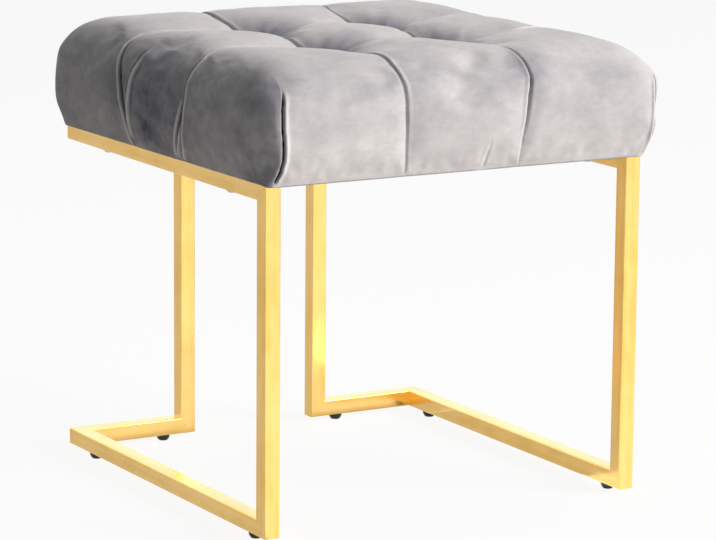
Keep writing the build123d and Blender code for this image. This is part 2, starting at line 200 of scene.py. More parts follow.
def new_object(name, data):
    """New object in the scene."""
    obj = bpy.data.objects.new(name, data)
    bpy.context.scene.collection.objects.link(obj)
    return obj


def link_mesh(name, mesh):
    """New object for a mesh, smooth shaded."""
    mesh.polygons.foreach_set("use_smooth", [True] * len(mesh.polygons))
    return new_object(name, mesh)


def mesh_of(bm, name):
    """Turns a bmesh into a mesh and frees it."""
    mesh = bpy.data.meshes.new(name)
    bm.to_mesh(mesh)
    bm.free()
    return mesh


def coordinates(mesh):
    """Vertex places of a mesh in millimetres."""
    flat = np.empty(len(mesh.vertices) * 3)
    mesh.vertices.foreach_get("co", flat)
    return flat.reshape(-1, 3) / MM


def above_rails(mesh):
    """Vertex places of a mesh in millimetres, with their heights above the rails."""
    return coordinates(mesh) - np.array([0.0, 0.0, RAIL_TOP])


def set_coordinates(mesh, places):
    """Writes vertex places given in millimetres."""
    mesh.vertices.foreach_set("co", (places * MM).ravel())
    mesh.update()


def normals(mesh):
    """Vertex normals of a mesh."""
    flat = np.empty(len(mesh.vertices) * 3)
    mesh.vertex_normals.foreach_get("vector", flat)
    return flat.reshape(-1, 3)


def smooth_noise(places, size, seed):
    """Smooth noise from -1 to 1 over places, with features of about the given size in millimetres."""
    shift = Vector((seed * 7.31, seed * 3.77, seed * 5.13))
    return np.array([noise.noise(Vector(p) / size + shift) for p in places])


def ease(values, low, high):
    """0 below low, 1 above high and a smooth step between."""
    t = np.clip((values - low) / (high - low), 0.0, 1.0)
    return t * t * (3 - 2 * t)


def mound(values, reach, middle=0.0):
    """1 at the middle, falling off smoothly to both sides."""
    return np.exp(-((values - middle) / reach) ** 2)


# Materials

def tinted(colour, share):
    """A colour times a share, or times one share each for red, green and blue."""
    return tuple(np.minimum(np.multiply(colour[:3], share), 1.0)) + (1.0,)


def new_material(name):
    """Empty node material with its Principled shader."""
    material = bpy.data.materials.new(name)
    material.use_nodes = True
    shader = material.node_tree.nodes["Principled BSDF"]
    return material, material.node_tree, shader


def set_inputs(node, values):
    """Sets sockets of a node by their names."""
    for name, value in values.items():
        node.inputs[name].default_value = value


def add_node(tree, kind, values, links):
    """New shader node with values and links on its sockets, by their names or numbers."""
    node = tree.nodes.new("ShaderNode" + kind)
    set_inputs(node, values)
    for name, source in links.items():
        tree.links.new(source, node.inputs[name])
    return node


def noise_node(tree, scale, detail, stretch=(1.0, 1.0, 1.0), turn=(0.0, 0.0, 0.0), warp=0.0):
    """Noise over Object coordinates, turned, then stretched along the axes."""
    place = add_node(tree, "TexCoord", {}, {}).outputs["Object"]
    mapping = add_node(tree, "Mapping", {"Scale": stretch, "Rotation": turn}, {"Vector": place})
    values = {"Scale": scale, "Detail": detail, "Distortion": warp}
    return add_node(tree, "TexNoise", values, {"Vector": mapping.outputs["Vector"]}).outputs["Fac"]


def ramp_node(tree, source, stops):
    """Colour ramp from (place, colour) stops."""
    ramp = add_node(tree, "ValToRGB", {}, {"Fac": source})
    elements = ramp.color_ramp.elements
    while len(elements) < len(stops):
        elements.new(0.5)
    for element, (place, colour) in zip(elements, stops):
        element.position = place
        element.color = colour
    return ramp.outputs["Color"]


def range_node(tree, source, low, high):
    """Spreads a 0 to 1 value over a range."""
    return add_node(tree, "MapRange", {"To Min": low, "To Max": high}, {"Value": source}).outputs["Result"]


def bump_node(tree, shader, heights):
    """Chain of bumps from (source, distance, strength) into a shader."""
    before = {}
    for source, distance, strength in heights:
        values = {"Distance": distance, "Strength": strength}
        bump = add_node(tree, "Bump", values, {"Height": source, **before})
        before = {"Normal": bump.outputs["Normal"]}
    tree.links.new(before["Normal"], shader.inputs["Normal"])


def blend_node(tree, first, second, share):
    """Mixes two values, the second by its share."""
    return add_node(tree, "Mix", {"Factor": share}, {"A": first, "B": second}).outputs["Result"]


# How much slower draw lines and mottling change along a tube than across it
DRAW_STRETCH = 0.02
MOTTLE_STRETCH = 0.35
# The gold's pale and deep marks, as shares of its red, green and blue
GOLD_PALE = (1.05, 1.06, 1.25)
GOLD_DEEP = (0.93, 0.88, 0.8)


def gold_plate(finish, axis):
    """Polished plating for tubes along one axis: slightly wavy, with draw lines and mottling."""
    material, tree, shader = new_material("gold_plate_" + "xyz"[axis])
    warm = tuple(finish.gold)
    pale = tinted(warm, GOLD_PALE)
    deep = tinted(warm, GOLD_DEEP)
    stretch = [1.0, 1.0, 1.0]
    stretch[axis] = DRAW_STRETCH
    lines = noise_node(tree, scale=170.0, detail=3.0, stretch=stretch)
    clouds = noise_node(tree, scale=9.0, detail=3.0)
    stretch[axis] = MOTTLE_STRETCH
    mottles = noise_node(tree, scale=75.0, detail=5.0, stretch=stretch)
    marks = blend_node(tree, blend_node(tree, clouds, lines, share=0.5), mottles, share=0.3)
    tone = ramp_node(tree, marks, [(0.41, deep), (0.5, warm), (0.6, pale)])
    tree.links.new(tone, shader.inputs["Base Color"])
    shader.inputs["Metallic"].default_value = 1.0
    smears = noise_node(tree, scale=34.0, detail=4.0)
    tree.links.new(range_node(tree, smears, low=0.12, high=0.3), shader.inputs["Roughness"])
    bump_node(tree, shader, [
        (noise_node(tree, scale=26.0, detail=1.0), 0.0012, 0.25),
        (noise_node(tree, scale=420.0, detail=2.0), 0.0001, 0.15),
    ])
    return material


# Painted shade in a crease and painted highlight on a lip of the velvet, as shares of its dark and its
# light
CREASE_SHADE = 0.08
LIP_HIGHLIGHT_TINT = 1.45


def grey_velvet(finish):
    """Short-pile velvet: the nap's brushed patches with painted shade and painted highlights from its nap
    attribute, fine wisps and a fuzzy sheen.
    """
    material, tree, shader = new_material("grey_velvet")
    dark, light = tuple(finish.velvet_dark), tuple(finish.velvet_light)
    middle = tuple((a + b) / 2 for a, b in zip(dark, light))
    crease = tinted(dark, CREASE_SHADE)
    lip = tinted(light, LIP_HIGHLIGHT_TINT)
    # The nap attribute holds random nap tone together with painted shade and painted highlights
    brushed = add_node(tree, "Attribute", {}, {})
    brushed.attribute_name = NAP_AND_SHADE_ATTRIBUTE
    smudges = noise_node(
        tree, scale=30.0, detail=7.0, stretch=(0.8, 0.8, 1.0), turn=(0.35, 0.3, 0.0), warp=0.6)
    wisps = noise_node(
        tree, scale=150.0, detail=6.0, stretch=(0.6, 0.7, 1.0), turn=(0.6, 0.5, 0.3), warp=0.6)
    marks = blend_node(tree, smudges, wisps, share=0.6)
    nap = blend_node(tree, brushed.outputs["Fac"], marks, share=0.32)
    # Below the dark stop is painted crease shade, above the light stop painted lip highlight
    tone = ramp_node(tree, nap, [(0.0, crease), (0.21, dark), (0.46, middle), (0.7, light), (1.0, lip)])
    tree.links.new(tone, shader.inputs["Base Color"])
    set_inputs(shader, {
        "Roughness": 0.86, "Specular IOR Level": 0.12,
        "Sheen Weight": 0.5, "Sheen Roughness": 0.35, "Sheen Tint": (0.94, 0.93, 0.95, 1.0),
    })
    bump_node(tree, shader, [
        (noise_node(tree, scale=70.0, detail=3.0), 0.0016, 0.22),
        (noise_node(tree, scale=1500.0, detail=2.0), 0.0004, 0.3),
    ])
    return material


# How far the grain of a plain finish goes, in its colour and gloss
GRAIN_SHADE = 0.75
GRAIN_TINT = 1.2
GRAIN_GLOSS = (0.8, 1.2)


def speckled(name, colour, roughness, grain, depth, metallic=0.0):
    """Plain finish with a fine grain in its colour, gloss and surface."""
    material, tree, shader = new_material(name)
    fine = noise_node(tree, scale=grain, detail=3.0)
    tone = ramp_node(tree, fine, [(0.3, tinted(colour, GRAIN_SHADE)), (0.7, tinted(colour, GRAIN_TINT))])
    tree.links.new(tone, shader.inputs["Base Color"])
    low, high = (min(1.0, roughness * share) for share in GRAIN_GLOSS)
    tree.links.new(range_node(tree, fine, low, high), shader.inputs["Roughness"])
    shader.inputs["Metallic"].default_value = metallic
    bump_node(tree, shader, [(fine, depth, 0.3)])
    return material


# Cushion, in millimetres

# Grid of the cushion: place of the corner folds, steps between folds and pleats, levels
CORNER_LINE = 224
GRID_STEPS = (4, 14, 14, 14, 4)
GRID_LEVELS = 18
# How far the grid is even, and how far it is drawn to the pleats and corner folds
EVEN_SHARE = 0.42
DRAWN_SHARE = 0.58


def graded(start, end, count):
    """Places from start to end that lie closer together at both ends."""
    t = np.linspace(0, 1, count + 1)
    return start + (end - start) * (EVEN_SHARE * t + DRAWN_SHARE * (1 - np.cos(math.pi * t)) / 2)


def grid_lines(half, tuft):
    """Grid places across the seat, closest together at the pleats and the corner folds."""
    marks = (-half, -CORNER_LINE, -tuft, tuft, CORNER_LINE, half)
    parts = [graded(start, end, count) for start, end, count in zip(marks, marks[1:], GRID_STEPS)]
    return np.concatenate([parts[0]] + [part[1:] for part in parts[1:]])


def box_grid(counts):
    """Unit box of quads, open below, whose grid has the given number of steps each way."""
    bm = bmesh.new()
    bmesh.ops.create_cube(bm, size=1)
    bmesh.ops.translate(bm, verts=bm.verts, vec=(0.5, 0.5, 0.5))
    for axis, count in enumerate(counts):
        along = [e for e in bm.edges if abs(e.verts[0].co[axis] - e.verts[1].co[axis]) > 0.5]
        bmesh.ops.subdivide_edges(bm, edges=along, cuts=count - 1, use_grid_fill=True)
    below = [f for f in bm.faces if all(v.co.z < 1e-6 for v in f.verts)]
    bmesh.ops.delete(bm, geom=below, context="FACES")
    return bm


# How square the corners are: (share of the height, power)
CORNER_POWERS = [(0, 12), (0.5, 6.4), (0.82, 3.8), (1, 3.8)]
# Where the sides' bulge would end, as a share of the way from its widest level to the crest
UPPER_FALL = 1.25


def rolled_box(box, seat):
    """Rolls the top edges of a box of points over, rounds its corners and bulges its sides."""
    half = np.array([HALF_W, HALF_D]) + seat.base_overhang
    roll = np.array([seat.roll_width, seat.roll_width, seat.roll_height])
    inner = np.empty_like(box)
    inner[:, :2] = np.clip(box[:, :2], roll[:2] - half, half - roll[:2])
    inner[:, 2] = np.minimum(box[:, 2], CREST - seat.roll_height)
    away = (box - inner) / roll
    power = np.interp(box[:, 2] / CREST, *zip(*CORNER_POWERS))
    plan = (np.abs(away[:, 0]) ** power + np.abs(away[:, 1]) ** power) ** (1 / power)
    away /= np.hypot(plan, away[:, 2])[:, None]
    places = inner + away * roll
    rise = places[:, 2].copy()
    lower = 1 - (1 - np.clip(rise / seat.bulge_height, 0, 1)) ** 2
    fall = UPPER_FALL * (CREST - seat.bulge_height)
    upper = 1 - (np.clip(rise - seat.bulge_height, 0, None) / fall) ** 2
    bulge = np.minimum(lower, upper)[:, None]
    out = np.array([seat.side_overhang, seat.end_overhang]) - seat.base_overhang
    places[:, :2] += away[:, :2] * bulge * out
    flat = (2 * away[:, 2] ** 2 - 1) ** 2 * np.clip(rise / seat.bulge_height, 0, 1)
    places -= away * (seat.swell_room * flat)[:, None]
    return places


def column(stops, heights, index):
    """A column of stops at each height."""
    return np.interp(heights, [stop[0] for stop in stops], [stop[index] for stop in stops])


# Distances from the middle of the seat between which a pleat turns down a face
FACE_TURN = (165, 215)
# A pleat fades out over this length past its tuft
PAST_TUFT = 14
TOP_PLEAT_WIDTH = 1.8


class Pleat:
    """A pleat across the top and down one or two faces, along X (axis 0) or Y (axis 1)."""

    def __init__(self, axis, place, low_end, high_end, lap):
        self.axis = axis
        self.place = place
        self.ends = ((-1, low_end), (1, high_end))
        self.lap = lap
        self.tuft = (TUFT_X, TUFT_Y)[axis]

    def on_faces(self, places, index, level):
        """A column of the pleat's stops at each place on its faces, and the level on the top."""
        run = places[:, self.axis]
        values = np.full(len(places), float(level))
        for sign, stops in self.ends:
            if stops:
                face = column(stops, places[:, 2], index)
                values += ease(sign * run, *FACE_TURN) * (face - level)
        return values

    def wander(self, places):
        """How far the pleat runs off its straight line at each place."""
        return self.on_faces(places, 1, 0)

    def width(self, places):
        """How far the pleat stands open at each place."""
        return self.on_faces(places, 2, TOP_PLEAT_WIDTH)

    def across(self, places):
        """Signed distance across the pleat."""
        return places[:, 1 - self.axis] - self.place - self.wander(places)

    def run(self, places):
        """Distance along the pleat from its tuft."""
        return np.abs(np.abs(places[:, self.axis]) - self.tuft)

    def force(self, places):
        """1 where the pleat runs and 0 past the tuft on a side that it doesn't reach."""
        run = places[:, self.axis]
        force = np.ones(len(places))
        for sign, stops in self.ends:
            if not stops:
                force *= 1 - ease(sign * run, -self.tuft, -self.tuft + PAST_TUFT)
        return force


# Each pleat down its face, as (height above the rails, offset, width)
FRONT_LEFT = [(0, 5, 0.2), (36, 2, 0.6), (57, 1, 1), (95, 0, 1.4), (114, -4, 1.8), (124, -2, 1.8)]
FRONT_RIGHT = [(0, -5, 0.2), (31, -3, 1.2), (62, 1, 3), (77, 3, 4.2), (95, 7, 2),
               (112, 6, 1.6), (124, 3, 1.8)]
LEFT_BACK = [(0, -21, 3.6), (22, -14, 4.4), (51, -4, 5.6), (83, 3, 5), (95, 7, 3.6),
             (108, 10, 2.4), (120, 4, 1.8)]
LEFT_FRONT = [(0, 9, 2.4), (33, 5, 3.4), (52, 0, 3.8), (71, -6, 3.8), (95, -10, 3),
              (112, -11, 2), (124, -4, 1.8)]
RIGHT_FRONT = [(0, -7, 1.2), (40, -2, 2), (80, 6, 2.6), (112, 5, 1.8)]
RIGHT_BACK = [(0, 8, 1.2), (45, 3, 2.2), (90, -4, 2.2), (112, -3, 1.8)]
BACK_LEFT = [(0, -6, 1), (50, 3, 2.6), (95, 2, 2), (112, 0, 1.8)]
BACK_RIGHT = [(0, 4, 1), (50, -2, 2), (95, 5, 2.4), (112, 6, 1.8)]


def seat_pleats():
    """Two long pleats, front to back, and four short ones, from each tuft to its side."""
    return [
        Pleat(1, -TUFT_X, FRONT_LEFT, BACK_LEFT, 1),
        Pleat(1, TUFT_X, FRONT_RIGHT, BACK_RIGHT, -1),
        Pleat(0, -TUFT_Y, LEFT_FRONT, None, -1),
        Pleat(0, TUFT_Y, LEFT_BACK, None, 1),
        Pleat(0, -TUFT_Y, None, RIGHT_FRONT, 1),
        Pleat(0, TUFT_Y, None, RIGHT_BACK, -1),
    ]


def tuft_distance(places):
    """Distance to the nearest tuft and the direction from it."""
    dx = np.abs(places[:, 0]) - TUFT_X
    dy = np.abs(places[:, 1]) - TUFT_Y
    return np.hypot(dx, dy), np.arctan2(dy, dx)


# Folded corners: sides of X and Y, how far flattened, stops of (height, place, width)
CORNER_FOLDS = [
    (-1, -1, 0.85, [(0, -227, 1.6), (12, -222.5, 1.8), (25, -220.5, 1.8), (39, -221.5, 2),
                    (60, -223.5, 2), (80, -223, 1.8), (97, -219.5, 1.2)]),
    (1, -1, 0.1, [(0, 236, 0.8), (15, 239.5, 0.8), (50, 240, 1), (70, 239, 2.2), (88, 238.6, 1.6)]),
    (-1, 1, 0.1, [(0, -232, 1.4), (40, -234, 1.8), (80, -236, 1.8), (92, -238, 1.2)]),
    (1, 1, 0.7, [(0, 222, 1.6), (40, 224, 2.2), (80, 226, 2.2), (96, 221, 1.4)]),
]
# Way that a flattened corner faces in plan
CORNER_FACE = np.array([0.78, 0.63])
# Where the quarter round a corner begins, and how softly its flat starts and ends
QUARTER = (150, 200)
FLAT_SOFT = 3
FLAT_FADE = 14
# Fuller corners: sides of X and Y, how far out, height, reach up and down
FULL_CORNERS = [(1, -1, 7, 82, 26), (1, -1, 4, 26, 20), (-1, 1, 2.5, 25, 18)]
FULL_REACH = 62  # reach round the corner


def flattened_corners(places, seat):
    """Draws each folded corner flat, from its fold round to the side, and fills out the full ones."""
    places = places.copy()
    for side_x, side_y, share, stops in CORNER_FOLDS:
        face = CORNER_FACE * np.array([side_x, side_y])
        height = places[:, 2]
        bulge = 1 - (1 - np.clip(height / seat.bulge_height, 0, 1)) ** 2
        edge = side_y * (HALF_D + seat.base_overhang + bulge * (seat.end_overhang - seat.base_overhang))
        past = (places[:, 0] - column(stops, height, 1)) * face[0] + (places[:, 1] - edge) * face[1]
        quarter = ease(side_x * places[:, 0], *QUARTER) * ease(side_y * places[:, 1], *QUARTER)
        last = stops[-1][0]
        level = share * quarter * (1 - ease(height, last - FLAT_FADE, last + FLAT_FADE))
        past = np.clip(past, 0, None)
        soft = past ** 2 / (past + FLAT_SOFT)
        places[:, :2] -= (level * soft)[:, None] * face
    for side_x, side_y, amount, level, reach in FULL_CORNERS:
        side = np.array([side_x, side_y])
        tip = side * np.array([HALF_W + seat.side_overhang, HALF_D + seat.end_overhang])
        away = np.linalg.norm(places[:, :2] - tip, axis=1)
        push = amount * np.exp(-(away / FULL_REACH) ** 2 - ((places[:, 2] - level) / reach) ** 2)
        places[:, :2] += push[:, None] * side / math.sqrt(2)
    return places


# Pulls on the grid
WANDER_REACH = 48  # how far beside a pleat the grid follows its bends
TOP_TURN = (0.3, 0.85)  # upward share of the normal, from face to top
FOOT_FADE = 34  # a pleat on a face grows shallower below this height
FOOT_SHARE, REST_SHARE = 0.2, 0.8  # share of its depth at the foot, and what the rest adds
PULL_FALL = 1.35  # power of the fall of a tuft's pull along its pleat
LEAST_SPREAD = 9  # half width of a valley where its pull has faded
SPREAD_FALL = 0.6  # power by which a valley narrows with its depth
CREASE_SPREAD = 8  # half width of a pleat on a face
SADDLE_INSIDE = 25  # fade of the dip between two tufts
SADDLE_SPREAD = 26
PLEAT_PIN = (0.5, 0.4, 3)  # how firmly a pleat is held, how much more on top, how wide
TUFT_PIN = 8  # radius held at a tuft
FOOT_PIN = (1, 9)  # heights over which the hold on the foot ends
# How far the foot hangs below the rails: at the ends, and at the sides from front to back
END_DROP = 3.2
SIDE_DROPS = (0.3, 2.2)
END_TURN = (-6, 2)  # where the sides' drop becomes the ends', from the frame's end
DROP_FADE = 26  # height up to which the cushion drops too


def cushion_base(seat):
    """Grid of the cushion, pulled down at its pleats and tufts; returns the mesh and its pin strengths."""
    lines_x = grid_lines(HALF_W + seat.base_overhang, TUFT_X)
    lines_y = grid_lines(HALF_D + seat.base_overhang, TUFT_Y)
    counts = (len(lines_x) - 1, len(lines_y) - 1, GRID_LEVELS)
    mesh = mesh_of(box_grid(counts), "cushion_rough")
    unit = coordinates(mesh) * MM
    index = np.rint(unit[:, :2] * np.array(counts[:2])).astype(int)
    box = np.stack([lines_x[index[:, 0]], lines_y[index[:, 1]], unit[:, 2] * CREST], axis=1)
    places = flattened_corners(rolled_box(box, seat), seat)
    set_coordinates(mesh, places)
    out = normals(mesh)
    pleats = seat_pleats()
    shift = np.zeros_like(places)
    for pleat in pleats:
        side = 1 - pleat.axis
        near = mound(box[:, side], WANDER_REACH, pleat.place)
        shift[:, side] += near * pleat.wander(places) * pleat.force(places)
    places = places + shift
    top = ease(out[:, 2], *TOP_TURN)
    foot = ease(places[:, 2], 0, FOOT_FADE)
    pull = np.zeros(len(places))
    pins = np.zeros(len(places))
    hold, top_hold, hold_width = PLEAT_PIN
    for pleat in pleats:
        across = np.abs(pleat.across(places))
        force = pleat.force(places)
        fade = np.exp(-(pleat.run(places) / seat.pleat_reach) ** PULL_FALL)
        deep = (seat.tuft_depth - seat.swell_room) * fade
        steep = np.clip(deep / seat.tuft_depth, 0, 1) ** SPREAD_FALL
        spread = LEAST_SPREAD + (seat.pleat_spread - LEAST_SPREAD) * steep
        valley = top * deep * np.exp(-across / spread)
        crease = (1 - top) * seat.side_crease * (FOOT_SHARE + REST_SHARE * foot)
        valley += crease * np.exp(-across / CREASE_SPREAD)
        pull = np.maximum(pull, force * valley)
        pins = np.maximum(pins, force * (hold + top_hold * top) * mound(across, hold_width))
    reach, _ = tuft_distance(places)
    inside = 1 - ease(np.abs(places[:, 0]), TUFT_X - SADDLE_INSIDE, TUFT_X)
    saddle = seat.saddle_depth * mound(np.abs(places[:, 1]), SADDLE_SPREAD, TUFT_Y) * inside
    pull = pull + top * saddle
    pins = np.maximum(pins, top * mound(reach, TUFT_PIN))
    pins = np.maximum(pins, 1 - ease(places[:, 2], *FOOT_PIN))
    places = places - out * pull[:, None]
    end = ease(np.abs(places[:, 1]), HALF_D + END_TURN[0], HALF_D + END_TURN[1])
    side_drop = np.interp(places[:, 1], (-HALF_D, HALF_D), SIDE_DROPS)
    drop = side_drop + (END_DROP - side_drop) * end
    places[:, 2] -= drop * (1 - ease(places[:, 2], 0, DROP_FADE))
    places[:, 2] += RAIL_TOP
    set_coordinates(mesh, places)
    return mesh, pins


SWELL_STEPS = 20
CLOTH = {
    "quality": 6, "mass": 0.35, "tension_stiffness": 40, "compression_stiffness": 40,
    "shear_stiffness": 12, "bending_stiffness": 0.4, "vertex_group_mass": "held",
    "pin_stiffness": 1, "shrink_min": -0.006, "use_pressure": True,
}


def swell(obj, pins, seat):
    """Lets the cloth swell under pressure, held at its pleats, tufts and foot."""
    mesh = obj.data
    before = coordinates(mesh)
    group = obj.vertex_groups.new(name="held")
    for index, pin in enumerate(pins):
        group.add([index], pin, "REPLACE")
    cloth = obj.modifiers.new("swell", "CLOTH")
    for name, value in CLOTH.items():
        setattr(cloth.settings, name, value)
    cloth.settings.uniform_pressure_force = seat.pressure
    cloth.settings.effector_weights.gravity = 0
    cloth.collision_settings.use_collision = False
    scene = bpy.context.scene
    for step in range(1, SWELL_STEPS + 1):
        scene.frame_set(step)
    graph = bpy.context.evaluated_depsgraph_get()
    after = coordinates(obj.evaluated_get(graph).to_mesh())
    obj.modifiers.remove(cloth)
    obj.vertex_groups.clear()
    scene.frame_set(1)
    move = after - before
    length = np.linalg.norm(move, axis=1)
    limited = seat.swell_limit * np.tanh(length / seat.swell_limit)
    set_coordinates(mesh, before + move * (limited / np.maximum(length, 1e-9))[:, None])


def subdivided(obj, name):
    """Mesh of the object after two smooth subdivisions."""
    finer = obj.modifiers.new("finer", "SUBSURF")
    finer.levels = 2
    graph = bpy.context.evaluated_depsgraph_get()
    mesh = bpy.data.meshes.new_from_object(obj.evaluated_get(graph))
    obj.modifiers.remove(finer)
    mesh.name = name
    return mesh


# Other folds: axis and side of the face, depth, low and high lip, stops of (height, place, width)
FACE_FOLDS = [
    (0, -1, 6, 2.8, 0.4, [(8, 55, 3), (28, 58, 4), (47, 57, 5.4), (64, 52, 5.4),
                          (82, 45, 4.4), (98, 40, 3.6), (114, 34, 2.6)]),
    (0, -1, 1.6, 0, 0.8, [(4, 44, 2), (30, 47, 2.4), (56, 42, 3), (76, 36, 3), (100, 28, 2.4)]),
    (0, -1, 4.5, 2, 2, [(0, -53, 1.6), (11, -56, 2), (28, -62, 2.6), (40, -67, 2.6),
                        (60, -75, 2), (76, -81, 1.6)]),
    (1, -1, 1, 0.35, 0.35, [(-6, 25, 1.6), (16, 28.5, 1.6), (36, 31, 1.2)]),
    (1, 1, 1.6, 0.7, 0.7, [(-6, -40, 1.6), (20, -36, 1.6), (44, -34, 1.2)]),
    (0, 1, 4.5, 2, 2, [(0, -60, 1.8), (30, -58, 2.4), (70, -64, 2.6), (100, -70, 1.8)]),
]
FOLD_REACH = 9  # how far from a fold the mesh is finer
PAST_CORNER = 8  # how far above a corner fold it is


def near_folds(local, out):
    """The points on the upright faces that lie close to a fold."""
    height = local[:, 2]
    near = np.zeros(len(local), dtype=bool)
    for pleat in seat_pleats():
        if pleat.axis == 0:
            close = np.abs(pleat.across(local)) < FOLD_REACH
            near |= close & (pleat.force(local) > 0.5) & (out[:, 2] < 0.8)
    for axis, side, _, _, _, stops in FACE_FOLDS:
        across = np.abs(local[:, 1 - axis] - column(stops, height, 1))
        near |= (across < FOLD_REACH) & (out[:, axis] * side > 0.3)
    for _, side_y, _, stops in CORNER_FOLDS:
        across = np.abs(local[:, 0] - column(stops, height, 1))
        near |= (across < FOLD_REACH) & (out[:, 1] * side_y > 0.05) & (height < stops[-1][0] + PAST_CORNER)
    return near


def finer_folds(mesh):
    """Splits the mesh once more along the folds of the upright faces."""
    near = near_folds(above_rails(mesh), normals(mesh))
    bm = bmesh.new()
    bm.from_mesh(mesh)
    edges = [e for e in bm.edges if near[e.verts[0].index] and near[e.verts[1].index]]
    bmesh.ops.subdivide_edges(bm, edges=edges, cuts=1, use_grid_fill=True)
    bm.to_mesh(mesh)
    bm.free()


# Section of a fold: softness of its edges, place and width of its lips
EDGE_SOFT = 0.9
LIP_OUT = 2.6
LIP_WIDTH = 2.2


def recess(across, width, depth, low_lip, high_lip):
    """Section of an open fold: how far the cloth sinks or rises at each distance across it."""
    low = across + width / 2
    high = across - width / 2
    inside = ease(low, -EDGE_SOFT, EDGE_SOFT) * (1 - ease(high, -EDGE_SOFT, EDGE_SOFT))
    lips = low_lip * mound(low + LIP_OUT, LIP_WIDTH) + high_lip * mound(high - LIP_OUT, LIP_WIDTH)
    return lips * (1 - inside) - depth * inside


# Open pleats
PLEAT_DEPTH = 4.5
UNDER_LIP, OVER_LIP = 0.4, 1.5  # the lip that lies under, and the one over it
SIDE_PLEAT_SHARE = 1.45  # the pleats to the sides stand open further
FULL_WIDTH = 2.2  # width at which a pleat on an end has its full depth
LEAST_SHARE = 0.3  # share of it that the narrowest have
TWIN_GAP = 4.2  # the two edges of a pleat, near its tuft
TWIN_REACH = 60
SIDE_SLACK, END_SLACK = 1.4, 0.9  # how far the cloth sinks beside a pleat on the sides and ends
SLACK_REACH = 5
TUFT_CLEAR = (6, 22)  # distances from its tuft over which a pleat opens
# Corner folds: depth, and the lips away from and towards the corner
CORNER_DEPTH = 5
CORNER_LIPS = (1.6, 0.2)
# Wrinkles: how many run out from a tuft, how high and how far
RAYS = 11
RAY_HEIGHT = 1.8
RAY_REACH = 28
RAY_SWAY = 2.5  # how unevenly they stand round it
LUMPS, SMALL_LUMPS = 0.9, 0.4  # broad and small lumps of the padding
GATHER_HEIGHT = 0.7  # gathers along the foot, and how far up they go
GATHER_REACH = 16
GATHER_STRETCH = np.array([1, 1, 0.15])


def sewn_folds(mesh):
    """Opens each pleat and adds the folds and wrinkles; returns how far the folds sink or rise."""
    places = coordinates(mesh)
    out = normals(mesh)
    local = above_rails(mesh)
    height = local[:, 2]
    top = ease(out[:, 2], 0.35, 0.9)
    reach, turn = tuft_distance(local)
    folds = np.zeros(len(places))
    for pleat in seat_pleats():
        across = pleat.across(local)
        width = pleat.width(local)
        if pleat.axis == 0:
            share = 1 + (SIDE_PLEAT_SHARE - 1) * (1 - top)
            slack = SIDE_SLACK
        else:
            share = np.clip(width / FULL_WIDTH, LEAST_SHARE, 1)
            slack = END_SLACK
        lips = (UNDER_LIP, OVER_LIP) if pleat.lap > 0 else (OVER_LIP, UNDER_LIP)
        twin = TWIN_GAP / 2 * top * mound(pleat.run(local), TWIN_REACH)
        section = np.minimum(recess(across - twin, width, PLEAT_DEPTH, *lips),
                             recess(across + twin, width, PLEAT_DEPTH, *lips))
        soft = np.exp(-np.clip(-pleat.lap * across, 0, None) / SLACK_REACH) * (across * pleat.lap < 0)
        section = share * section - slack * (1 - top) * soft
        folds += pleat.force(local) * ease(reach, *TUFT_CLEAR) * section
    for axis, side, depth, low_lip, high_lip, stops in FACE_FOLDS:
        across = local[:, 1 - axis] - column(stops, height, 1)
        upright = ease(out[:, axis] * side, 0.3, 0.7)
        ends = ease(height, stops[0][0] - 1, stops[0][0] + 8)
        ends *= 1 - ease(height, stops[-1][0] - 24, stops[-1][0])
        folds += upright * ends * recess(across, column(stops, height, 2), depth, low_lip, high_lip)
    for side_x, side_y, _, stops in CORNER_FOLDS:
        across = side_x * (local[:, 0] - column(stops, height, 1))
        upright = ease(out[:, 1] * side_y, 0.05, 0.4) * ease(side_x * local[:, 0], 150, 190)
        ends = 1 - ease(height, stops[-1][0] - 12, stops[-1][0] + 4)
        folds += upright * ends * recess(across, column(stops, height, 2), CORNER_DEPTH, *CORNER_LIPS)
    rays = np.cos(RAYS * turn + RAY_SWAY * smooth_noise(local, size=40, seed=3))
    rise = folds + top * RAY_HEIGHT * rays * np.exp(-reach / RAY_REACH) * ease(reach, 4, 16)
    lumps = LUMPS * smooth_noise(local, size=60, seed=1)
    rise += lumps + SMALL_LUMPS * smooth_noise(local, size=24, seed=2)
    gathers = smooth_noise(local * GATHER_STRETCH, size=9, seed=5)
    fade = np.exp(-np.clip(height, 0, None) / GATHER_REACH)
    rise += GATHER_HEIGHT * gathers * fade * ease(height, 1, 5)
    held = ease(height, 0, 5) * ease(reach, 2, 9)
    places += out * (rise * held)[:, None]
    set_coordinates(mesh, places)
    return folds * held


# Gap between the cushion's hanging edge and the frame
FRAME_GAP = 0.4


def close_foot(mesh, seat):
    """Closes the cushion below: the hanging edge turns up to a flat hem round a flat bottom."""
    bm = bmesh.new()
    bm.from_mesh(mesh)
    rim = [e for e in bm.edges if e.is_boundary]
    made = bmesh.ops.contextual_create(bm, geom=rim)
    bottom = made["faces"][0]
    bmesh.ops.inset_region(bm, faces=[bottom], thickness=(seat.base_overhang - FRAME_GAP) * MM, depth=0)
    for vert in bottom.verts:
        vert.co.z = RAIL_TOP * MM
    bmesh.ops.inset_region(bm, faces=[bottom], thickness=(HALF_W - DUST_HIGH.x) * MM, depth=0)
    bmesh.ops.recalc_face_normals(bm, faces=bm.faces)
    bm.to_mesh(mesh)
    bm.free()
